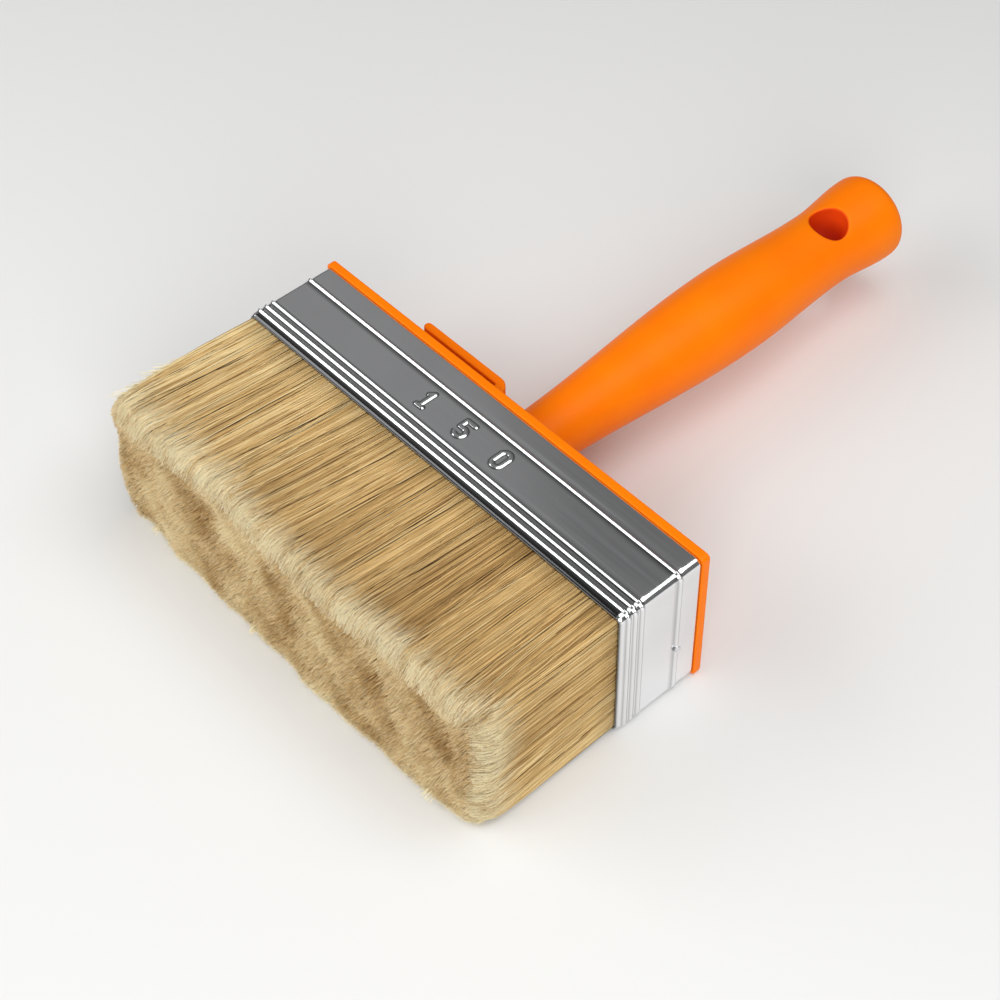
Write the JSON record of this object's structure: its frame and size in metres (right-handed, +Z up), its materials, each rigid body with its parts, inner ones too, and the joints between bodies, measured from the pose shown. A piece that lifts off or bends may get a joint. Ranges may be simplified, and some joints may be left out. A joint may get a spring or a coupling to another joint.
{
  "type": "block brush",
  "caption": "Wide block brush: pale bristle in a beaded metal ferrule, a moulded plastic block with a bucket hook, and a round grip handle with a hanging hole.",
  "frame": {"origin": "on the resting surface, under the middle of the block's flange: the lower face of the flange, midway across the width and midway in the flange's thickness", "axes": "+Z up from the surface that the brush lies on, +Y along the handle towards its hanging hole, X across the width of the head"},
  "size_m": [0.1528, 0.237, 0.049],
  "materials": {
    "tinplate": "bright rolled tinplate",
    "steel": "plain",
    "orange_plastic": "satin moulded",
    "resin": "set epoxy",
    "filler_wood": "raw",
    "bristle": "pale natural bristle with lighter flagged tips"
  },
  "bodies": {
    "root": {"ferrule": "tinplate", "ferrule_tacks": "steel", "block": "orange_plastic", "handle": "orange_plastic", "handle_screw": "steel", "resin": "resin", "strip_upper": "filler_wood", "strip_lower": "filler_wood", "bristles_upper": "bristle", "bristles_middle": "bristle", "bristles_lower": "bristle"}
  },
  "joints": []
}
